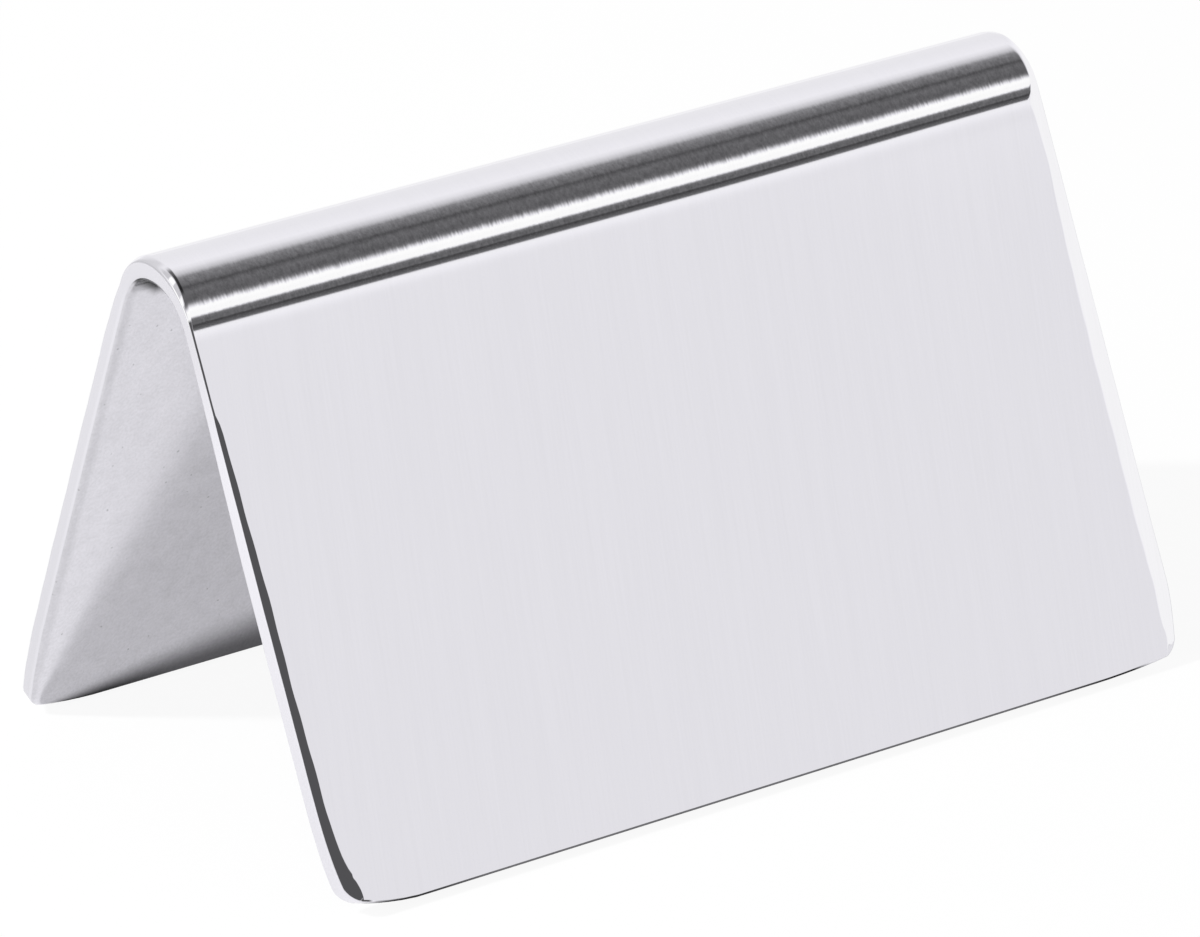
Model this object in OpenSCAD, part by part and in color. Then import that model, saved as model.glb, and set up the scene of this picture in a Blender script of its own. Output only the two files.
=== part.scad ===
// Tent-shaped place card holder for a table: one strip of stainless steel sheet,
// sheared, rounded at its lower corners and folded once over a round former.
// X runs along the ridge, -Y is the front, and the table is at Z = 0.

/* [Sheet] */
// Width of the strip, along the ridge
sheet_w = 52; // [30:0.5:120]
// Thickness of the sheet
sheet_t = 1.2; // [0.8:0.1:2]
// Straight length of each leg, from the end of the bend to the sheared end
leg_l = 30.1; // [12:0.1:80]

/* [Bend] */
// Radius inside the bend
bend_r = 2.7; // [1.5:0.1:6]
// Angle between the two legs
opening_angle = 48.7; // [30:0.1:90]

/* [Edges] */
// Radius of the lower corners, seen square to the leg
corner_r = 2.6; // [1.6:0.1:8]
// Rounding of the edge all round the outer face
outer_edge_r = 0.3; // [0.1:0.05:0.5]
// Rounding of the edge all round the inner face
inner_edge_r = 0.15; // [0.05:0.05:0.25]

/* [Hidden] */
$fn = 96;
// Lean of each leg from the vertical
lean = opening_angle / 2;
// Angle by which each half of the bend runs past the ridge
ridge_overlap = 5;
// Radius outside the bend
ridge_r = bend_r + sheet_t;
// The legs stand on the rounding of their inner face, so this height of the bend's
// centre puts the lowest point of that rounding on the table
bend_z = leg_l * cos(lean) - bend_r * sin(lean) - inner_edge_r * (sin(lean) + cos(lean) - 1);

// Cross-section of the sheet near one edge: the outer face lies at y = 0, the inner
// face at y = sheet_t, and the edge, with both its roundings, at x = reach
module edge_section(reach) {
    translate([reach - outer_edge_r, outer_edge_r])
        circle(r = outer_edge_r);
    translate([reach - inner_edge_r, sheet_t - inner_edge_r])
        circle(r = inner_edge_r);
    polygon([
        [0, 0],
        [reach - outer_edge_r, 0],
        [reach, outer_edge_r],
        [reach, sheet_t - inner_edge_r],
        [reach - inner_edge_r, sheet_t],
        [0, sheet_t]
    ]);
}

// Cross-section of the whole strip, from edge to edge
module strip_section() {
    edge_section(sheet_w / 2);
    mirror([1, 0])
        edge_section(sheet_w / 2);
}

// Half of the round fold, from its leg to a little past the ridge
module half_bend() {
    sweep = 90 - lean + ridge_overlap;
    rotate([0, 90, 0])
        rotate_extrude(angle = sweep, start = 270 - sweep)
            translate([ridge_r, 0])
                rotate(90)
                    strip_section();
}

// One flat leg, standing on its sheared end, with its outer face at y = 0
module leg() {
    foot_w = sheet_w - 2 * corner_r;
    translate([0, 0, corner_r])
        linear_extrude(height = leg_l - corner_r)
            strip_section();
    translate([-foot_w / 2, 0, corner_r])
        rotate([0, 90, 0])
            linear_extrude(height = foot_w)
                edge_section(corner_r);
    for (side = [0, 1])
        mirror([side, 0, 0])
            translate([foot_w / 2, 0, corner_r])
                rotate([-90, 0, 0])
                    rotate_extrude(angle = 90)
                        edge_section(corner_r);
}

// The strip as it is bent: two mirrored halves, each a leg with its share of the
// fold, leaning out from the bend's centre and fused across the ridge
module folded_sheet() {
    color("gainsboro")
        translate([0, 0, bend_z])
            for (side = [0, 1])
                mirror([0, side, 0])
                    rotate([-lean, 0, 0]) {
                        half_bend();
                        translate([0, -ridge_r, -leg_l])
                            leg();
                    }
}

folded_sheet();
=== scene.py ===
import math

import bpy
import numpy as np
from mathutils import Matrix, Vector


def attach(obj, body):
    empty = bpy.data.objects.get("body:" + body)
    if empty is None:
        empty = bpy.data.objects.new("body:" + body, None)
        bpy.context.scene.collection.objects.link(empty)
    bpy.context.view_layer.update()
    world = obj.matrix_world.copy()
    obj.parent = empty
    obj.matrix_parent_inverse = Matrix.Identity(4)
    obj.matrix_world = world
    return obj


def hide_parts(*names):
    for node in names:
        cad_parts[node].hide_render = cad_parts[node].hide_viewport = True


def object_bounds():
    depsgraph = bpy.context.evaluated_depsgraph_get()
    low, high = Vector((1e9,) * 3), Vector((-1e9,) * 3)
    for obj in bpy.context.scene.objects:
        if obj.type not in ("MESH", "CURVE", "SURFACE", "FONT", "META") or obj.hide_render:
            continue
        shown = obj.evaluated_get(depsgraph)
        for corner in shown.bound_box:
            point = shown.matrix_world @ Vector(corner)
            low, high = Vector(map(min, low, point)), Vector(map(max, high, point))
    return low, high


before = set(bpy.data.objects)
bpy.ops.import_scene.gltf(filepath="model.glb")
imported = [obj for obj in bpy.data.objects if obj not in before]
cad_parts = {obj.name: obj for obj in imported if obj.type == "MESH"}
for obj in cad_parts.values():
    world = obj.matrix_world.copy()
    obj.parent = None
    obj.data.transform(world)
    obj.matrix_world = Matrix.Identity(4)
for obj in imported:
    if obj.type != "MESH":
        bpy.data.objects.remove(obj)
cad_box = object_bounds()

# The viewpoint: a long lens at the front left, a little above the table. The camera
# leans by about a degree, which lets the ridge climb a little more to the right.
VIEW_AZIMUTH = math.radians(-33.754)
VIEW_ELEVATION = math.radians(23.219)
VIEW_ROLL = math.radians(-1.365)
VIEW_DISTANCE = 0.46342
VIEW_TARGET = Vector((0, 0, 0.0156))
VIEW_OFFSET = (0.000272, -0.003106)
FOCAL_PIXELS = 9082
FRAME_PIXELS = 1200
SENSOR_MM = 36
NEAREST_SEEN = 0.05
FARTHEST_SEEN = 20

backward = Vector((
    math.sin(VIEW_AZIMUTH) * math.cos(VIEW_ELEVATION),
    -math.cos(VIEW_AZIMUTH) * math.cos(VIEW_ELEVATION),
    math.sin(VIEW_ELEVATION),
))
level_right = Vector((0, 0, 1)).cross(backward).normalized()
level_up = backward.cross(level_right)
right = level_right * math.cos(VIEW_ROLL) + level_up * math.sin(VIEW_ROLL)
up = backward.cross(right)

camera = bpy.data.objects.new("camera", bpy.data.cameras.new("camera"))
camera.data.sensor_width = SENSOR_MM
camera.data.lens = SENSOR_MM * FOCAL_PIXELS / FRAME_PIXELS
camera.data.clip_start = NEAREST_SEEN
camera.data.clip_end = FARTHEST_SEEN
place = VIEW_TARGET + backward * VIEW_DISTANCE + right * VIEW_OFFSET[0] + up * VIEW_OFFSET[1]
facing = Matrix((right, up, backward)).transposed().to_4x4()
camera.matrix_world = Matrix.Translation(place) @ facing
bpy.context.collection.objects.link(camera)
bpy.context.scene.camera = camera


# The folded sheet: one strip of stainless steel, sheared, rounded at its lower
# corners and folded over a round former. Polishing by hand has rolled its outer
# edges off, more towards the feet than at the bend, and most on the right.
MM = 0.001
SHEET_W = cad_box[1].x - cad_box[0].x
SHEET_T = 1.2 * MM
LEG_L = 30.1 * MM
BEND_R = 2.6 * MM
LEAN = math.radians(48.7 / 2)
CORNER_R = 0.9 * MM
# Half the stretch over which the bend's curvature dies away into each leg
BEND_FADE = 1.15 * MM
# Share by which the front of the bend is tighter at its right end, and where that begins
BEND_TIGHTER = 0.075
TIGHTER_FROM = 3 * MM
# Inset from the outline at which the regular grid of each face begins, and its cells from
# the middle of a foot to its corner, up a side, round a corner's first half, and over the
# whole bend
GRID_INSET = 3.4 * MM
FOOT_STEPS = 30
SIDE_STEPS = 56
CORNER_STEPS = 7
BEND_STEPS = 108
# Steps in which the sheet's middle line is followed from foot to foot
MIDDLE_STEPS = 8000
# Slack for rounding where points are told apart by side and by leg
ROUNDING = 1e-9
# Share of a rolled-off strip's width that it takes to near its slope, round the bend and
# on the legs, and the distances from the ridge between which one gives way to the other
ROLL_START = (0.3, 0.1)
ROLL_CHANGE = (2.6, 3.9)

# Each long edge, left or right (-1 or 1) on the front or rear leg (-1 or 1), in rows of
# millimetres: distance from the ridge, then the width, slope in degrees and outer radius
# of what is rolled off outside, then the width and height of what is rolled off inside
LONG_EDGES = {
    (-1, -1): [
        (0, 0.5, 26, 0.22, 0.14, 0.22),
        (0.8, 0.52, 26, 0.22, 0.16, 0.28),
        (1.6, 0.5, 25, 0.2, 0.2, 0.32),
        (2.5, 0.4, 21, 0.12, 0.3, 0.4),
        (3.1, 0.28, 17, 0.1, 0.36, 0.42),
        (3.9, 0.15, 12, 0.06, 0.44, 0.46),
        (6.5, 0.15, 11, 0.06, 0.4, 0.44),
        (8.5, 0.15, 10, 0.06, 0.36, 0.39),
        (8.9, 0.28, 15, 0.06, 0.35, 0.38),
        (12, 0.36, 15.5, 0.07, 0.23, 0.26),
        (16, 0.44, 16, 0.07, 0.13, 0.15),
        (21, 0.46, 16, 0.07, 0.12, 0.12),
        (27, 0.5, 16, 0.08, 0.12, 0.13),
        (30.1, 0.6, 15, 0.12, 0.12, 0.13),
        (31.6, 0.8, 13.5, 0.22, 0.12, 0.12),
        (33, 0.95, 12.5, 0.28, 0.12, 0.12),
    ],
    (-1, 1): [
        (0, 0.5, 26, 0.22, 0.14, 0.22),
        (1.2, 0.5, 27, 0.25, 0.14, 0.2),
        (3.5, 0.85, 28, 0.25, 0.13, 0.13),
        (7, 0.62, 22, 0.22, 0.12, 0.12),
        (12, 0.6, 22, 0.22, 0.12, 0.12),
        (33, 0.62, 22, 0.22, 0.12, 0.12),
    ],
    (1, -1): [
        (0, 0.45, 11, 0.06, 0.15, 0.15),
        (1.5, 0.5, 11.5, 0.06, 0.15, 0.15),
        (2.3, 0.48, 12.5, 0.06, 0.15, 0.15),
        (2.8, 0.5, 14, 0.08, 0.15, 0.15),
        (3.1, 0.58, 14.5, 0.1, 0.15, 0.15),
        (3.5, 0.72, 14.5, 0.1, 0.15, 0.15),
        (3.9, 0.95, 11.5, 0.1, 0.15, 0.15),
        (5, 0.85, 13, 0.1, 0.15, 0.15),
        (7, 0.77, 14, 0.1, 0.15, 0.15),
        (14, 1.12, 10.5, 0.1, 0.15, 0.15),
        (23, 1.2, 10.5, 0.1, 0.15, 0.15),
        (31.5, 1.15, 10.5, 0.1, 0.15, 0.15),
        (32.4, 0.95, 10.5, 0.1, 0.15, 0.15),
        (33.2, 0.6, 11, 0.1, 0.15, 0.15),
    ],
    (1, 1): [
        (0, 0.45, 11, 0.06, 0.15, 0.15),
        (4, 0.4, 14, 0.1, 0.18, 0.18),
        (14, 0.5, 14, 0.1, 0.2, 0.2),
        (27, 0.6, 13, 0.12, 0.2, 0.2),
        (33, 0.5, 14, 0.12, 0.2, 0.2),
    ],
}
# The same five sizes along both feet. They take over round each corner by the square of this:
# how squarely the edge faces down the strip, times the first number and less the second.
FOOT_EDGE = (0.12, 28, 0.08, 0.2, 0.15)
FOOT_TAKEOVER = (2.2, 1.1)
# How the width of what is rolled off wavers along a leg: share, length in millimetres over
# one radian and start of each wave, and the share of this that the right-hand side has
WAVES = ((0.05, 1.3, 0), (0.04, 0.47, 1))
WAVER_AT_RIGHT = 0.35

# How far hand grinding has taken the outline in beside each corner, at (side, leg), in
# millimetres: how far up the side it begins and how strongly, the same along the foot,
# and how much is off the corner itself
CORNER_GRINDING = {
    (-1, -1): (5.4, 0.0255, 4.4, 0.079, 0.12),
    (-1, 1): (6.5, 0.023, 4.5, 0.055, 0.02),
    (1, -1): (4.0, 0.08, 5.5, 0.023, 0.02),
    (1, 1): (4.0, 0.07, 4.8, 0.03, 0.05),
}
# How fast the grinding grows towards a corner, how far in from the edge it is felt, and
# how far round a corner the grinding of the corner itself reaches
GRINDING_CURVE = 1.5
GRINDING_DEPTH = 3
CORNER_REACH = 2.6

MID_R = BEND_R + SHEET_T / 2
BEND_HALF_TURN = math.pi / 2 - LEAN
BEND_HALF_L = MID_R * BEND_HALF_TURN
STRIP_HALF_L = BEND_HALF_L + LEG_L
CURVED_HALF_L = BEND_HALF_L + BEND_FADE
SIDE_STRAIGHT = STRIP_HALF_L - CORNER_R - CURVED_HALF_L
FOOT_STRAIGHT = SHEET_W / 2 - CORNER_R
CORNER_EIGHTH = CORNER_R * math.pi / 4
MIDDLE_ALONG = np.linspace(-STRIP_HALF_L, STRIP_HALF_L, MIDDLE_STEPS + 1)


def turn_at(along, tighter=0):
    """Angle of the sheet's outward normal from the vertical, at a distance from the ridge."""
    reach = np.abs(along) * (1 + tighter * (along < 0))
    fade = CURVED_HALF_L - reach
    faded = BEND_HALF_TURN - np.clip(fade, 0, None) ** 2 / (4 * BEND_FADE * MID_R)
    turn = np.where(reach < BEND_HALF_L - BEND_FADE, reach / MID_R, faded)
    return np.copysign(turn, along)


def middle_line(tighter):
    """The sheet's middle line seen from its end, from foot to foot, as y and z at each step."""
    turn = turn_at(MIDDLE_ALONG, tighter)
    step = MIDDLE_ALONG[1] - MIDDLE_ALONG[0]
    y = np.concatenate([[0], np.cumsum(np.cos((turn[1:] + turn[:-1]) / 2) * step)])
    z = np.concatenate([[0], np.cumsum(-np.sin((turn[1:] + turn[:-1]) / 2) * step)])
    return np.stack([y, z - np.interp(0, MIDDLE_ALONG, z)])


EVEN_LINE = middle_line(0)
EVEN_LINE[0] -= EVEN_LINE[0, -1] / 2
# The tighter line is moved so that both meet at the ridge and at both feet
TIGHT_LINE = middle_line(BEND_TIGHTER)
TIGHT_LINE[0] += EVEN_LINE[0, -1] - TIGHT_LINE[0, -1]
FOOT_MISS = (EVEN_LINE - TIGHT_LINE)[:, :1]
DOWN_FRONT_LEG = np.clip(-MIDDLE_ALONG - CURVED_HALF_L, 0, None)
TIGHT_LINE += FOOT_MISS * DOWN_FRONT_LEG / (STRIP_HALF_L - CURVED_HALF_L)


def fold(across, along, height):
    """Where points of the flat strip, at a height over its inner face, lie on the folded sheet."""
    share = np.clip((across - TIGHTER_FROM) / (SHEET_W / 2 - TIGHTER_FROM), 0, 1)
    share = share * share * (3 - 2 * share)
    turn = turn_at(along) * (1 - share) + turn_at(along, BEND_TIGHTER) * share
    even_y, even_z = (np.interp(along, MIDDLE_ALONG, line) for line in EVEN_LINE)
    tight_y, tight_z = (np.interp(along, MIDDLE_ALONG, line) for line in TIGHT_LINE)
    y = even_y * (1 - share) + tight_y * share
    z = even_z * (1 - share) + tight_z * share
    off = height - SHEET_T / 2
    return np.stack([across, y + off * np.sin(turn), z + off * np.cos(turn)], -1)


def runs(straight, straight_steps, corner_steps):
    """Distances along a straight stretch of an edge, and on to half way round its corner."""
    corner = np.linspace(straight, straight + CORNER_EIGHTH, corner_steps + 1)
    return np.concatenate([np.linspace(0, straight, straight_steps + 1), corner[1:]])


FOOT_RUNS = runs(FOOT_STRAIGHT, FOOT_STEPS, CORNER_STEPS)
SIDE_RUNS = runs(SIDE_STRAIGHT, SIDE_STEPS, CORNER_STEPS)


def grid_lines():
    """Places of the grid's lines across and along the strip, away from the edges of a face."""
    half_w = SHEET_W / 2 - GRID_INSET
    leg_l = STRIP_HALF_L - GRID_INSET - CURVED_HALF_L
    columns = FOOT_RUNS / FOOT_RUNS[-1] * half_w
    leg = CURVED_HALF_L + SIDE_RUNS / SIDE_RUNS[-1] * leg_l
    bend = np.linspace(-CURVED_HALF_L, CURVED_HALF_L, BEND_STEPS + 1)
    return np.concatenate([-columns[:0:-1], columns]), np.concatenate([-leg[:0:-1], bend, leg[1:]])


def ground_off(strength, reach, beside, inset):
    """How far grinding takes an edge in, at a distance beside a corner and an inset from the edge."""
    near_corner = np.clip(reach - beside, 0, None) ** GRINDING_CURVE
    return strength * near_corner * np.clip(1 - inset / GRINDING_DEPTH, 0, 1)


def outline(across, along):
    """The strip's outline and its outward normals, point for point with the border of the grid."""
    half_w = SHEET_W / 2 - GRID_INSET
    half_l = STRIP_HALF_L - GRID_INSET
    on_side = np.abs(across) >= half_w - ROUNDING
    down_leg = (np.abs(along) - CURVED_HALF_L) / (half_l - CURVED_HALF_L)
    side_run = np.clip(down_leg, 0, None) * SIDE_RUNS[-1]
    side_turn = np.clip(side_run - SIDE_STRAIGHT, 0, None) / CORNER_R
    side_along = np.minimum(np.abs(along), CURVED_HALF_L) + np.minimum(side_run, SIDE_STRAIGHT)
    foot_run = np.abs(across) / half_w * FOOT_RUNS[-1]
    foot_turn = math.pi / 2 - np.clip(foot_run - FOOT_STRAIGHT, 0, None) / CORNER_R
    turn = np.where(on_side, side_turn, foot_turn)
    from_side = SHEET_W / 2 - np.where(on_side, FOOT_STRAIGHT, np.minimum(foot_run, FOOT_STRAIGHT))
    from_foot = STRIP_HALF_L - np.where(on_side, side_along, STRIP_HALF_L - CORNER_R)
    from_side = (from_side - CORNER_R * np.cos(turn)) / MM
    from_foot = (from_foot - CORNER_R * np.sin(turn)) / MM
    ground = from_side.copy(), from_foot.copy()
    for (side, leg), (side_l, side_strength, foot_l, foot_strength, tip) in CORNER_GRINDING.items():
        here = (np.sign(across) == side) & (np.sign(along) == leg)
        off_side = ground_off(side_strength, side_l, from_foot, from_side)
        off_foot = ground_off(foot_strength, foot_l, from_side, from_foot)
        off_tip = tip * np.clip(1 - (from_side + from_foot) / CORNER_REACH, 0, 1) ** 2
        ground[0][here] += (off_side + off_tip)[here]
        ground[1][here] += (off_foot + off_tip)[here]
    points = np.stack([
        np.copysign(SHEET_W / 2 - ground[0] * MM, across),
        np.copysign(STRIP_HALF_L - ground[1] * MM, along),
    ], -1)
    tangent = np.roll(points, -1, 0) - np.roll(points, 1, 0)
    normal = np.stack([tangent[:, 1], -tangent[:, 0]], -1)
    return points, normal / np.linalg.norm(normal, axis=1)[:, None]


def edge_sizes(points, normal):
    """The five sizes of the rolled-off edge at each point of the outline, in metres and radians,
    and the share of its width that it takes to near its slope."""
    reach = np.abs(points[:, 1]) / MM
    sizes = np.zeros((5, len(points)))
    for (side, leg), rows in LONG_EDGES.items():
        # The ridge itself goes with the rear leg
        here = (np.sign(points[:, 0]) == side) & (np.where(points[:, 1] < -ROUNDING, -1, 1) == leg)
        table = np.array(rows)
        for number in range(5):
            sizes[number, here] = np.interp(reach[here], table[:, 0], table[:, number + 1])
    at_foot = np.clip(np.abs(normal[:, 1]) * FOOT_TAKEOVER[0] - FOOT_TAKEOVER[1], 0, 1) ** 2
    sizes = sizes * (1 - at_foot) + np.array(FOOT_EDGE)[:, None] * at_foot
    waver = sum(share * np.sin(reach / length + begins) for share, length, begins in WAVES)
    waver *= np.where(points[:, 0] > 0, WAVER_AT_RIGHT, 1)
    width, slope, radius, inner_width, inner_height = sizes
    start = np.interp(reach, ROLL_CHANGE, ROLL_START)
    width = width * (1 + waver) * MM
    return width, np.radians(slope), radius * MM, inner_width * MM, inner_height * MM, start


# The finishes of the sheet's surface, by the order in which their materials are added
OUTSIDE, EDGE, INSIDE = 0, 1, 2
# Shares of each band's width at which the rings of the edge run: on the flat beside what is
# rolled off, down the rolled-off strip, round the outer arris, over the sheared edge, and
# over each half of the inner arris
BESIDE_SHARES = (1.6, 1.1)
ROLLED_SHARES = (0, 0.05, 0.1, 0.17, 0.26, 0.4, 0.6, 0.8, 1)
ROUND_SHARES = (0.2, 0.4, 0.6, 0.8, 1)
SHEARED_SHARES = (0.1, 0.5, 0.9)
ARRIS_SHARES = (0, 0.35, 0.7, 1)
# The inner arris runs out past its width and height by the first share of them, and its
# middle lies at the second
ARRIS_OUT = 0.4
ARRIS_MIDDLE = 0.3
# How much further in the edge's last ring lies, on the flat inner face
LAST_RING_GAP = 0.15 * MM


def edge_profile(width, slope, radius, inner_width, inner_height, start):
    """Insets from the outline and heights over the inner face, from the outer face round to the
    inner one, each with the finish of the band that leads to it."""
    full_drop = 1 - start * (1 - np.exp(-1 / start))
    round_inset = radius * (1 - np.sin(slope))
    depth = np.tan(slope) * np.clip(width - round_inset, 0, None) * full_drop
    profile = [(width * share, SHEET_T, OUTSIDE) for share in BESIDE_SHARES]
    for share in ROLLED_SHARES:
        drop = (share - start * (1 - np.exp(-share / start))) / full_drop
        profile.append((width + (round_inset - width) * share, SHEET_T - depth * drop, OUTSIDE))
    centre = SHEET_T - depth - radius * np.cos(slope)
    for share in ROUND_SHARES:
        turn = slope + (math.pi / 2 - slope) * share
        finish = OUTSIDE if share < 0.5 else EDGE
        profile.append((radius * (1 - np.sin(turn)), centre + radius * np.cos(turn), finish))
    for share in SHEARED_SHARES:
        profile.append((0, centre + ((1 + ARRIS_OUT) * inner_height - centre) * share, EDGE))
    for share in ARRIS_SHARES:
        keep = (1 - share) ** 2
        height = 1 + ARRIS_OUT * keep - ARRIS_MIDDLE * share ** 2
        profile.append((inner_width * ARRIS_MIDDLE * share ** 2, inner_height * height, EDGE))
    for share in ARRIS_SHARES:
        keep = (1 - share) ** 2
        inset = 1 - ARRIS_MIDDLE * keep + ARRIS_OUT * share ** 2
        profile.append((inner_width * inset, inner_height * ARRIS_MIDDLE * keep, INSIDE))
    profile.append((inner_width * (1 + ARRIS_OUT) + LAST_RING_GAP, 0, INSIDE))
    return profile


# Shares of the way from the edge's first and last ring to the grid at which more rings run,
# nearest the grid first
FACE_SHARES = (0.8, 0.6, 0.42, 0.26, 0.14, 0.05)


def sheet_shape():
    """The whole sheet: a grid on each face, joined by rings that run round the edge. Gives the
    place of each point on the flat strip, the quads, and the finish of each quad."""
    columns, rows = grid_lines()
    grid_across, grid_along = np.meshgrid(columns, rows)
    n_rows, n_columns = grid_across.shape
    index = np.arange(n_rows * n_columns).reshape(n_rows, n_columns)
    border = np.concatenate([index[0, :-1], index[:-1, -1], index[-1, :0:-1], index[:0:-1, 0]])
    flat = np.stack([grid_across.ravel(), grid_along.ravel()], -1)
    edge, normal = outline(*flat[border].T)
    profile = edge_profile(*edge_sizes(edge, normal))
    # Rays from the edge to the border, which never cross, at a length of 1 square to the edge
    inwards = flat[border] - edge
    inwards = inwards / -(inwards * normal).sum(1)[:, None]

    strip = [np.column_stack([flat, np.full(len(flat), SHEET_T)])]
    rings = [border]
    finishes = []

    def ring(points, height, finish):
        rings.append(len(flat) + (len(rings) - 1) * len(border) + np.arange(len(border)))
        strip.append(np.column_stack([points, np.broadcast_to(height, len(border))]))
        finishes.append(finish)

    def edge_ring(inset, height, finish):
        ring(edge + inwards * np.broadcast_to(inset, len(border))[:, None], height, finish)

    def face_rings(inset, height, shares, finish):
        start = edge + inwards * inset[:, None]
        for share in shares:
            ring(start + (flat[border] - start) * share, height, finish)

    face_rings(profile[0][0], profile[0][1], FACE_SHARES, OUTSIDE)
    for inset, height, finish in profile:
        edge_ring(inset, height, finish)
    face_rings(profile[-1][0], profile[-1][1], FACE_SHARES[::-1], INSIDE)
    rings.append(len(flat) + (len(rings) - 1) * len(border) + border)
    strip.append(np.column_stack([flat, np.zeros(len(flat))]))
    finishes.append(INSIDE)

    faces = []
    face_finish = []
    for near, far, finish in zip(rings[:-1], rings[1:], finishes):
        quads = np.stack([near, np.roll(near, -1), np.roll(far, -1), far], -1)
        faces.append(quads[:, ::-1])
        face_finish += [finish] * len(quads)
    cells = np.stack([index[:-1, :-1], index[:-1, 1:], index[1:, 1:], index[1:, :-1]], -1).reshape(-1, 4)
    faces += [cells, cells[:, ::-1] + rings[-1][0] - border[0]]
    face_finish += [OUTSIDE] * len(cells) + [INSIDE] * len(cells)
    return np.concatenate(strip), np.concatenate(faces), face_finish


def sheet_mesh():
    strip, faces, face_finish = sheet_shape()
    points = fold(*strip.T)
    points[:, 2] += cad_box[0].z - points[:, 2].min()
    mesh = bpy.data.meshes.new("folded_sheet")
    mesh.from_pydata(points.tolist(), [], faces.tolist())
    mesh.attributes.new("strip", "FLOAT_VECTOR", "POINT").data.foreach_set("vector", strip.ravel())
    mesh.polygons.foreach_set("material_index", face_finish)
    mesh.polygons.foreach_set("use_smooth", [True] * len(face_finish))
    mesh.update()
    return mesh


sheet = bpy.data.objects.new("steel_sheet", sheet_mesh())
bpy.context.collection.objects.link(sheet)
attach(sheet, "root")
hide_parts("folded_sheet")


# The steel: one bare metal with three finishes, brushed and polished outside, ground
# on the sheared edge, and left as rolled inside. The steel itself is neither painted nor plated, but some
# shade and highlights are painted into its colour.
STEEL_COLOUR = (0.775, 0.765, 0.81)
GRAIN_LEAN = math.tan(math.radians(7))
HALF_WIDTH_MM = round(SHEET_W / MM) / 2


class Socket:
    """An output of a shader node. Arithmetic on it adds Math nodes."""

    def __init__(self, nodes, output):
        self.nodes = nodes
        self.output = output

    def of(self, name):
        return Socket(self.nodes, self.output.node.outputs[name])

    def __add__(self, other):
        return self.nodes.math("ADD", self, other)

    def __radd__(self, other):
        return self.nodes.math("ADD", other, self)

    def __sub__(self, other):
        return self.nodes.math("SUBTRACT", self, other)

    def __rsub__(self, other):
        return self.nodes.math("SUBTRACT", other, self)

    def __mul__(self, other):
        return self.nodes.math("MULTIPLY", self, other)

    def __rmul__(self, other):
        return self.nodes.math("MULTIPLY", other, self)

    def __abs__(self):
        return self.nodes.math("ABSOLUTE", self)


class Nodes:
    """The node tree of a material or a world, with one way to add a node."""

    def __init__(self, owner):
        owner.use_nodes = True
        self.tree = owner.node_tree
        self.tree.nodes.clear()

    def add(self, kind, settings=None, sockets=None, output=0):
        node = self.tree.nodes.new("ShaderNode" + kind)
        for name, setting in (settings or {}).items():
            setattr(node, name, setting)
        for name, value in (sockets or {}).items():
            if isinstance(value, Socket):
                self.tree.links.new(value.output, node.inputs[name])
            else:
                node.inputs[name].default_value = value
        return Socket(self, node.outputs[output]) if node.outputs else node

    def math(self, operation, *values):
        return self.add("Math", {"operation": operation}, dict(enumerate(values)))

    def vector(self, operation, *values, output=0):
        return self.add("VectorMath", {"operation": operation}, dict(enumerate(values)), output)

    def scaled(self, vector, factor):
        return self.add("VectorMath", {"operation": "SCALE"}, {0: vector, "Scale": factor})

    def noise(self, vector, detail=2, roughness=0.5):
        sockets = {"Vector": vector, "Scale": 1, "Detail": detail, "Roughness": roughness}
        return self.add("TexNoise", {}, sockets)

    def ramp(self, value, low, high, start=0, end=1):
        """Goes smoothly from start to end as the value goes from low to high."""
        limits = {"Value": value, "From Min": low, "From Max": high, "To Min": start, "To Max": end}
        return self.add("MapRange", {"interpolation_type": "SMOOTHSTEP"}, limits)

    def between(self, value, begins, full, fades, ended, before=0):
        """Goes from before to 1 as the value goes from begins to full, and to 0 from fades to ended."""
        return self.ramp(value, begins, full, before, 1) * self.ramp(value, fades, ended, 1, 0)

    def surface_normal(self):
        return self.add("NewGeometry", {}, {}, "Normal")

    def strip_axes(self):
        """Place on the flat strip in metres: X across, Y along it from the ridge, Z over its inner face."""
        strip = self.add("Attribute", {"attribute_name": "strip"}, {}, "Vector")
        return self.add("SeparateXYZ", {}, {0: strip})

    def strip_mm(self, *names):
        """The named axes of the place on the flat strip, in millimetres."""
        axes = self.strip_axes()
        return [axes.of(name) * (1 / MM) for name in names]

    def strip_place(self, across_mm, along_mm, lean=0):
        """Place on the flat strip, in cells of the given size, with the grain's lean taken out."""
        axes = self.strip_axes()
        across = (axes - axes.of("Y") * lean) * (1 / (across_mm * MM))
        along = axes.of("Y") * (1 / (along_mm * MM))
        height = axes.of("Z") * (1 / (along_mm * MM))
        return self.add("CombineXYZ", {}, {"X": across, "Y": along, "Z": height})

    def tilted_normal(self, tilt):
        """The surface's normal, tipped along the strip by a varying slope, as brush strokes leave it."""
        normal = self.surface_normal()
        along = self.vector("CROSS_PRODUCT", normal, (1, 0, 0))
        return self.vector("NORMALIZE", self.vector("ADD", normal, self.scaled(along, tilt)))


def steel(tone, roughness, height, height_mm, normal=None):
    """Finishes a steel material from its tone near 1, roughness, surface height and normal."""
    nodes = tone.nodes
    relief = {"Strength": 1, "Distance": height_mm * MM, "Height": height}
    if normal is not None:
        relief["Normal"] = normal
    sockets = {
        "Base Color": nodes.scaled(STEEL_COLOUR, tone),
        "Metallic": 1,
        "Roughness": roughness,
        "Normal": nodes.add("Bump", {}, relief),
    }
    nodes.add("OutputMaterial", {}, {"Surface": nodes.add("BsdfPrincipled", {}, sockets)})
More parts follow.
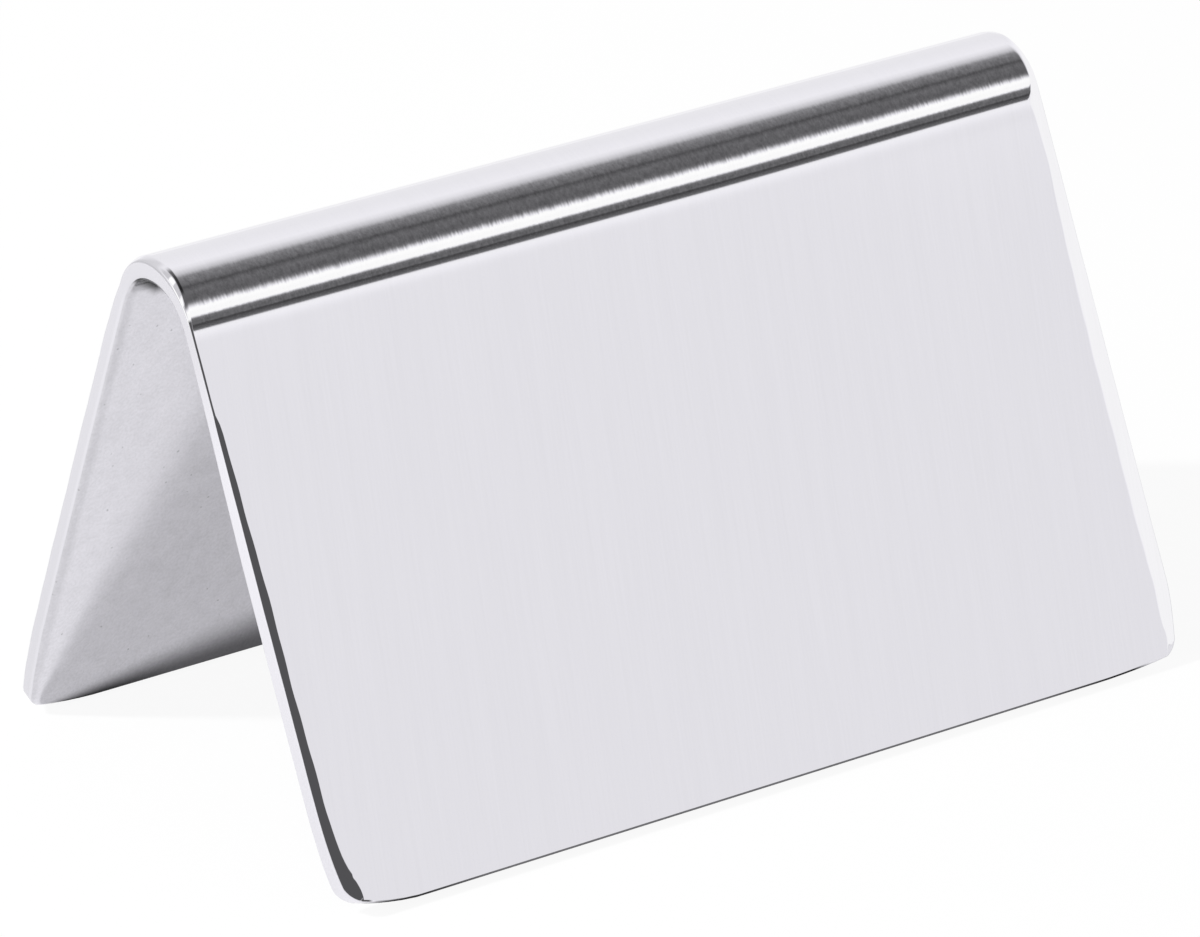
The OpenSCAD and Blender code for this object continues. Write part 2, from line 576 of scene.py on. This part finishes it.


# Where the brushing, the one line that it left smooth and the scuffs lie across the bend, by
# distance from the ridge in millimetres, and likewise the painted highlight on the shoulder behind the
# ridge
BRUSHED = (1.2, 2.4, 3, 3.35)
LEFT_SMOOTH = (2.72, 2.85, 3.42, 3.46)
SCUFFED = (1.3, 1.8, 3.85, 3.95)
PAINTED_SHOULDER = (0.7, 1.3, 1.9, 2.6)
# Share of the brushing that reaches the ridge, and of the scuffs that are behind it, and the
# distances at which the scuffs give way to that share
BRUSHED_AT_RIDGE = 0.35
SCUFFED_BEHIND = 0.1
SCUFFS_GIVE_WAY = (-1, 1)
# Both end within the sheet's ends, where the polishing has rolled the edges off
CLEAR_OF_EDGE = (25.2, 25.5)
# How far strokes tip the surface, and how far scuffs and the painted shoulder highlight change its tone
STROKE_SLOPE = 0.05
SCUFF_CONTRAST = 1.1
PAINTED_SHOULDER_GAIN = 0.1
# The bevel down the front leg's left edge is painted dark, a painted reflection of the dark that
# its polish would mirror. It is found by the cosine of its slope to the leg, and it begins below the bend.
PAINTED_DARK_BEVEL_SLOPE = (0.85, 0.875, 0.986, 0.991)
PAINTED_DARK_BEVEL_FROM = (-3.7, -3.5)
PAINTED_DARK_BEVEL_LEFT_OF = (-24.5, -24.2)
PAINTED_DARK_BEVEL_LOSS = 0.89


def brushed_outside():
    material = bpy.data.materials.new("brushed_outside")
    nodes = Nodes(material)
    fine = nodes.noise(nodes.strip_place(across_mm=0.12, along_mm=6, lean=GRAIN_LEAN), 3)
    broad = nodes.noise(nodes.strip_place(across_mm=0.9, along_mm=16, lean=GRAIN_LEAN))
    stroke = nodes.noise(nodes.strip_place(across_mm=0.12, along_mm=0.7), 1)
    scuff = nodes.noise(nodes.strip_place(across_mm=0.16, along_mm=0.22), 4, 0.6)
    across, along = nodes.strip_mm("X", "Y")
    # Distance from the ridge, stretched where the bend is tighter so that it follows the turn
    reach = abs(along) * nodes.ramp(across, TIGHTER_FROM / MM, HALF_WIDTH_MM, 1, 1 + BEND_TIGHTER)
    clear = nodes.ramp(abs(across), *CLEAR_OF_EDGE, 1, 0)
    brushed = nodes.between(reach, *BRUSHED, before=BRUSHED_AT_RIDGE) * clear
    scuffed = nodes.between(reach, *SCUFFED) * (1 - nodes.between(reach, *LEFT_SMOOTH)) * clear
    scuffed = scuffed * nodes.ramp(along, *SCUFFS_GIVE_WAY, 1, SCUFFED_BEHIND)
    leg_normal = (0, -math.cos(LEAN), math.sin(LEAN))
    slope = nodes.vector("DOT_PRODUCT", nodes.surface_normal(), leg_normal, output="Value")
    # Painted reflection: the bevel's colour is darkened where it would mirror something dark
    painted_dark_bevel = nodes.between(slope, *PAINTED_DARK_BEVEL_SLOPE) * nodes.ramp(along, *PAINTED_DARK_BEVEL_FROM, 1, 0)
    painted_dark_bevel = painted_dark_bevel * nodes.ramp(across, *PAINTED_DARK_BEVEL_LEFT_OF, 1, 0)
    tone = (0.965 + 0.04 * fine + 0.03 * broad) * (1 - PAINTED_DARK_BEVEL_LOSS * painted_dark_bevel)
    # Painted highlight: the shoulder behind the ridge is made lighter to stand in for light that it mirrors
    tone = tone * (1 + PAINTED_SHOULDER_GAIN * nodes.between(along, *PAINTED_SHOULDER))
    tone = tone * (1 + (scuff - 0.5) * SCUFF_CONTRAST * scuffed)
    normal = nodes.tilted_normal((stroke - 0.5) * STROKE_SLOPE * brushed)
    steel(tone, 0.035 + 0.03 * fine, 0.5 * fine + 0.35 * broad, height_mm=0.002, normal=normal)
    return material


# The front leg's edge is lighter in tone, up to these distances before the ridge
FRONT_BRIGHTER = (-12, -3)
FRONT_GAIN = 0.15
# The rear leg's inner arris has a painted highlight, a lighter tone for the light its rounding
# mirrors, up to these heights over the inner face and from these distances behind the ridge
ARRIS_HIGHLIGHT_HEIGHT = (0.15, 0.35)
ARRIS_HIGHLIGHT_FROM = (2, 5)
ARRIS_HIGHLIGHT_GAIN = 0.07


def ground_edge():
    material = bpy.data.materials.new("ground_edge")
    nodes = Nodes(material)
    fine = nodes.noise(nodes.strip_place(across_mm=0.5, along_mm=0.12), 3)
    along, height = nodes.strip_mm("Y", "Z")
    at_front = nodes.ramp(along, *FRONT_BRIGHTER, 1, 0)
    # Painted highlight along the rear leg's inner arris
    arris_highlight = nodes.ramp(height, *ARRIS_HIGHLIGHT_HEIGHT, 1, 0) * nodes.ramp(along, *ARRIS_HIGHLIGHT_FROM)
    tone = (0.9 + 0.04 * fine + FRONT_GAIN * at_front) * (1 + ARRIS_HIGHLIGHT_GAIN * arris_highlight)
    steel(tone, 0.2 + 0.1 * fine, fine, height_mm=0.002)
    return material


# Little light gets inside the fold, so its shade is painted into the colour: the painted dark fades
# between these distances from the ridge, is this much narrower at the sheet's ends and wider within, and
# keeps this much light
FOLD_FADE = (1.6, 2.8)
FOLD_NARROWER = 0.2
FOLD_WIDER = 1.5
FOLD_LIGHT = 0.03
# The face is painted a little darker beside the ground edge, as painted shade
PAINTED_SHADE_BESIDE_EDGE = (0.3, 0.8)
PAINTED_SHADE_LEFT = 0.88
# Dark pits lie where a fine noise is at its highest
PIT_LEVEL = (0.82, 0.86)
PIT_LOSS = 0.3


def rolled_inside():
    material = bpy.data.materials.new("rolled_inside")
    nodes = Nodes(material)
    cloud = nodes.noise(nodes.strip_place(across_mm=5, along_mm=6))
    mottle = nodes.noise(nodes.strip_place(across_mm=0.9, along_mm=1.1), 4, 0.6)
    grit = nodes.noise(nodes.strip_place(across_mm=0.16, along_mm=0.2), 3)
    pit = nodes.ramp(nodes.noise(nodes.strip_place(across_mm=0.3, along_mm=0.3), 0), *PIT_LEVEL)
    across, along = nodes.strip_mm("X", "Y")
    from_end = HALF_WIDTH_MM - abs(across)
    # Painted shade inside the fold, darkest near the ridge
    inside_fold = abs(along) - nodes.math("MINIMUM", from_end - FOLD_NARROWER, FOLD_WIDER)
    painted_shade = nodes.ramp(inside_fold, *FOLD_FADE, FOLD_LIGHT, 1)
    # Painted shade beside the ground edge
    painted_shade = painted_shade * nodes.ramp(from_end, *PAINTED_SHADE_BESIDE_EDGE, PAINTED_SHADE_LEFT, 1)
    tone = (0.695 + 0.1 * cloud + 0.2 * mottle + 0.24 * grit) * (1 - PIT_LOSS * pit) * painted_shade
    steel(tone, 0.1 + 0.1 * mottle, 0.5 * mottle + 0.3 * grit, height_mm=0.0015)
    return material


for finish in (brushed_outside, ground_edge, rolled_inside):
    sheet.data.materials.append(finish())


# The table: a pale top under the sheet. The camera sees it nearly white, and it keeps the
# sheet's shadow. To the metal it is darker, with painted shade that is darkest close to the feet.
TABLE_SIZE = 6
TABLE_COLOUR = (0.9, 0.9, 0.9, 1)
WHITE = (1, 1, 1, 1)
BLACK = (0, 0, 0, 1)
# How much of the table is plain white to the camera, and to what the metal reflects
WHITE_SEEN = 0.92
WHITE_REFLECTED = 0.48
# Distances from the middle to the line that each foot stands on, and to that line's end
FOOT_LINE = 14.99
FOOT_LINE_END = 25.9
# Light comes in at both ends of the tent, so the painted shadow seam inside each foot widens
# towards the middle: how far past the line's end it would close, how much it widens per millimetre,
# the shares of its width between which it fades, and by its width what is left in it
SEAM_CLOSES = 1.85
SEAM_GROWTH = 0.0927
SEAM_LEAST = 0.001
SEAM_FADE = (0.35, 1.75)
SEAM_WIDTHS = (0.5, 1.1)
SEAM_LEFT = (0.03, 0.2)
# Outside, the sheared ends of the legs overhang the table, and the shade under them is painted
# dark. Here the painted dark fades: away from the foot line, and within the line's ends.
OVERHANG = (-2.3, -1.5)
OVERHANG_ENDS = (1.4, 3)
# Far behind and at the right, where only the top of the ridge reflects it, the table is
# plain white to the metal too
FAR_BEHIND = (40, 70)
FAR_RIGHT = (-10, 10)


def pale_table():
    material = bpy.data.materials.new("pale_table")
    nodes = Nodes(material)
    lit = nodes.add("BsdfDiffuse", {}, {"Color": TABLE_COLOUR})
    white = nodes.add("Emission", {}, {"Color": WHITE, "Strength": 1})
    black = nodes.add("Emission", {}, {"Color": BLACK, "Strength": 0})
    camera_ray = nodes.add("LightPath", {}, {}, "Is Camera Ray")
    glossy_ray = camera_ray.of("Is Glossy Ray")
    place = nodes.add("SeparateXYZ", {}, {0: nodes.add("NewGeometry", {}, {}, "Position")})
    sideways = place * (1 / MM)
    backwards = place.of("Y") * (1 / MM)
    inset = FOOT_LINE - abs(backwards)
    from_end = FOOT_LINE_END - abs(sideways)
    # Painted shadow that only the metal's reflections see: dark along the feet, inside and out
    seam = nodes.math("MAXIMUM", (from_end + SEAM_CLOSES) * SEAM_GROWTH, SEAM_LEAST)
    fade_from, fade_to = (share * seam for share in SEAM_FADE)
    inside = nodes.ramp(inset, fade_from, fade_to, nodes.ramp(seam, *SEAM_WIDTHS, *SEAM_LEFT), 1)
    outside = nodes.ramp(inset, *OVERHANG, 1, 0)
    beside = nodes.ramp(from_end, *OVERHANG_ENDS, 1, 0)
    in_light = nodes.math("MAXIMUM", nodes.math("MAXIMUM", inside, outside), beside)
    behind = nodes.ramp(backwards, *FAR_BEHIND) * nodes.ramp(sideways, *FAR_RIGHT)
    reflected = WHITE_REFLECTED + (1 - WHITE_REFLECTED) * behind
    whiteness = WHITE_SEEN * camera_ray + reflected * glossy_ray
    surface = nodes.add("MixShader", {}, {"Fac": whiteness, 1: lit, 2: white})
    darkness = glossy_ray * (1 - in_light)
    surface = nodes.add("MixShader", {}, {"Fac": darkness, 1: surface, 2: black})
    nodes.add("OutputMaterial", {}, {"Surface": surface})
    return material


half_table = TABLE_SIZE / 2
table_mesh = bpy.data.meshes.new("table_top")
corner_signs = [(-1, -1), (1, -1), (1, 1), (-1, 1)]
table_corners = [(x * half_table, y * half_table, 0) for x, y in corner_signs]
table_mesh.from_pydata(table_corners, [], [(0, 1, 2, 3)])
table_mesh.materials.append(pale_table())
table = bpy.data.objects.new("table_top", table_mesh)
bpy.context.collection.objects.link(table)


# The studio: a white surround, and the dark gaps between its lights that polished metal
# needs to look like metal. Only what the metal reflects has the lights and gaps.
BRIGHTEST = 1.3
# The light in rows of an angle round the ridge and its strength: 0 degrees is level at the
# front, 90 is overhead and 180 is level behind
SURROUND_FRONT = [
    (0, 0.95), (23, 0.975), (24.6, 1.075), (25.6, 1.12), (27.1, 1.14), (27.5, 0.16), (28.5, 0.125),
    (29.7, 0.1), (30.4, 0.05), (31.1, 0.09), (31.6, 0.17), (33.5, 0.15), (35.6, 0.19), (36.4, 0.28),
    (37.9, 1.1), (38.7, 1.24), (42, 1.22), (45.8, 1.27), (47.3, 1.24), (49.2, 0.98), (51, 0.66),
    (53, 0.34), (55, 0.19), (57.5, 0.145), (60, 0.138),
]
SURROUND_TOP = [
    (60, 0.138), (71, 0.168), (75.5, 0.138), (79, 0.1), (81, 0.12), (83.5, 0.165), (92, 0.225),
    (97.5, 0.3), (104, 0.68), (113, 0.97), (121, 1.08), (148, 1.01), (172, 0.985), (180, 1.1),
]
# Each card, flag and lamp: the angles round the ridge at which it rises and falls away, then
# the same sideways, where -1 is left and 1 is right, and its light or the share that it takes
RIGHT_CARD = (0.66, 0.78)
RIGHT_CARD_LIGHT = 1.16
UPPER_FLAG_ROUND = (65, 75, 107, 121)
UPPER_FLAG_SIDEWAYS = (-0.09, -0.03, 0.18, 0.46)
UPPER_FLAG_TAKES = 0.8
DIM_WALL_ROUND = (117, 133, 198, 202)
DIM_WALL_LEFT_OF = (0, 0.25)
DIM_WALL_TAKES = 0.2
# The dark gap low at the front is closed towards the left, or the whole front face would
# mirror it and turn black when it is seen square from the front
GAP_ROUND = (24.5, 26.5, 36.5, 38.5)
GAP_CLOSED_LEFT_OF = (0.3, 0.42)
GAP_LIGHT = 1.08
LEFT_LIGHT_ROUND = (42, 48, 107, 113)
LEFT_LIGHT_LEFT_OF = (-0.5, -0.4)
LEFT_LIGHT = 1.35
# A dimmer wall at the left, with two lamps that show as beads on the rolled-off edge
LEFT_WALL_ROUND = (39, 47, 115, 127)
LEFT_WALL_SIDEWAYS = (-0.45, -0.35, -0.12, -0.06)
LEFT_WALL_LIGHT = 0.74
LAMPS_ROUND = ((90, 94, 100, 104), (55, 59, 67, 71))
LAMP_LIGHT = 0.6
# Strength of the surround as plain light on the table. The camera sees it at full strength.
EVEN_LIGHT = 0.5
# The brightest lights are a little warmer than the walls
WARM_FROM = (1.1, 1.2)
WARM_WHITE = (1, 1.01, 0.96, 1)


def studio_surround():
    world = bpy.data.worlds.new("studio")
    nodes = Nodes(world)
    axes = nodes.add("SeparateXYZ", {}, {0: nodes.add("TexCoord", {}, {}, "Generated")})
    sideways = axes.of("X")
    round_ridge = nodes.math("ARCTAN2", axes.of("Z"), 0 - axes.of("Y")) * (180 / math.pi)

    def strip_of_light(rows):
        low, high = rows[0][0], rows[-1][0]
        stops = nodes.add("ValToRGB", {}, {"Fac": (round_ridge - low) * (1 / (high - low))})
        ramp = stops.output.node.color_ramp
        for number, (angle, light) in enumerate(rows):
            position = (angle - low) / (high - low)
            stop = ramp.elements[number] if number < 2 else ramp.elements.new(position)
            stop.position = position
            stop.color = (light / BRIGHTEST,) * 3 + (1,)
        return nodes.add("RGBToBW", {}, {0: stops}) * BRIGHTEST

    right_card = nodes.ramp(sideways, *RIGHT_CARD)
    upper_flag = nodes.between(round_ridge, *UPPER_FLAG_ROUND)
    upper_flag = upper_flag * nodes.between(sideways, *UPPER_FLAG_SIDEWAYS)
    dim_wall = nodes.between(round_ridge, *DIM_WALL_ROUND)
    dim_wall = dim_wall * nodes.ramp(sideways, *DIM_WALL_LEFT_OF, 1, 0)
    closed_gap = nodes.between(round_ridge, *GAP_ROUND)
    closed_gap = closed_gap * nodes.ramp(sideways, *GAP_CLOSED_LEFT_OF, 1, 0)
    left_light = nodes.between(round_ridge, *LEFT_LIGHT_ROUND)
    left_light = left_light * nodes.ramp(sideways, *LEFT_LIGHT_LEFT_OF, 1, 0)
    left_wall = nodes.between(round_ridge, *LEFT_WALL_ROUND)
    left_wall = left_wall * nodes.between(sideways, *LEFT_WALL_SIDEWAYS)
    upper_lamp, lower_lamp = (nodes.between(round_ridge, *lamp) for lamp in LAMPS_ROUND)
    wall_light = LEFT_WALL_LIGHT + LAMP_LIGHT * (upper_lamp + lower_lamp)

    level = strip_of_light(SURROUND_FRONT) + strip_of_light(SURROUND_TOP) - SURROUND_TOP[0][1]
    level = level + (RIGHT_CARD_LIGHT - level) * right_card
    level = level * (1 - UPPER_FLAG_TAKES * upper_flag) * (1 - DIM_WALL_TAKES * dim_wall)
    level = level + (GAP_LIGHT - level) * closed_gap
    level = level + (LEFT_LIGHT - level) * left_light
    level = level + (wall_light - level) * left_wall
    camera_ray = nodes.add("LightPath", {}, {}, "Is Camera Ray")
    glossy_ray = camera_ray.of("Is Glossy Ray")
    even = EVEN_LIGHT + (1 - EVEN_LIGHT) * camera_ray
    strength = even + (level - even) * glossy_ray
    warmth = nodes.ramp(level, *WARM_FROM) * glossy_ray
    colour = nodes.add("Mix", {"data_type": "RGBA"}, {"Factor": warmth, 6: WHITE, 7: WARM_WHITE}, 2)
    background = nodes.add("Background", {}, {"Color": colour, "Strength": strength})
    nodes.add("OutputWorld", {}, {"Surface": background})
    return world


bpy.context.scene.world = studio_surround()
bpy.context.scene.view_settings.view_transform = "Standard"

# The key lamp: a small soft box high at the left, behind the sheet, aimed at its lower part.
# It draws the shadow at the right, and the metal doesn't mirror it.
KEY_PLACE = Vector((-0.42, 0.145, 0.4))
KEY_AIM = Vector((0, 0, 0.01))
KEY_WATTS = 3.3
KEY_SIZE = 0.04

key = bpy.data.objects.new("key", bpy.data.lights.new("key", "AREA"))
key.data.energy = KEY_WATTS
key.data.size = KEY_SIZE
key.location = KEY_PLACE
key.rotation_mode = "QUATERNION"
key.rotation_quaternion = (KEY_PLACE - KEY_AIM).to_track_quat("Z", "Y")
key.visible_glossy = False
bpy.context.collection.objects.link(key)
